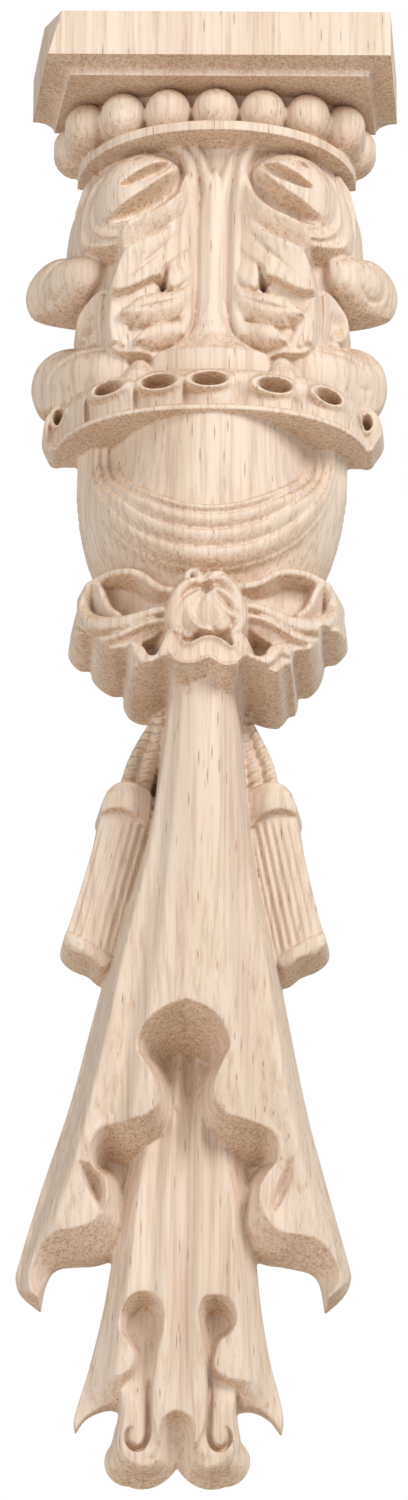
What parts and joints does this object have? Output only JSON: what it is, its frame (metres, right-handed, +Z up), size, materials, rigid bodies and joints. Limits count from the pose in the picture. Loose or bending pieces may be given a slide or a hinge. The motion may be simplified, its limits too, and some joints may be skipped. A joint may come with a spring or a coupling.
{
  "type": "carved wooden moulding",
  "caption": "Carved wooden wall moulding: block and bead row over an acanthus capital, pierced collar, swagged bulb, bow and knot, and a long draped cloth between tassels.",
  "frame": {"origin": "on the flat back face, at half its height, on the axis of the drape", "axes": "+Z up, +Y into the wall, +X to the right as seen from the room"},
  "size_m": [0.1026, 0.0425, 0.4009],
  "materials": {
    "wood": "bare, unfinished pale hardwood, matt"
  },
  "bodies": {
    "root": {"moulding": "wood"}
  },
  "joints": []
}
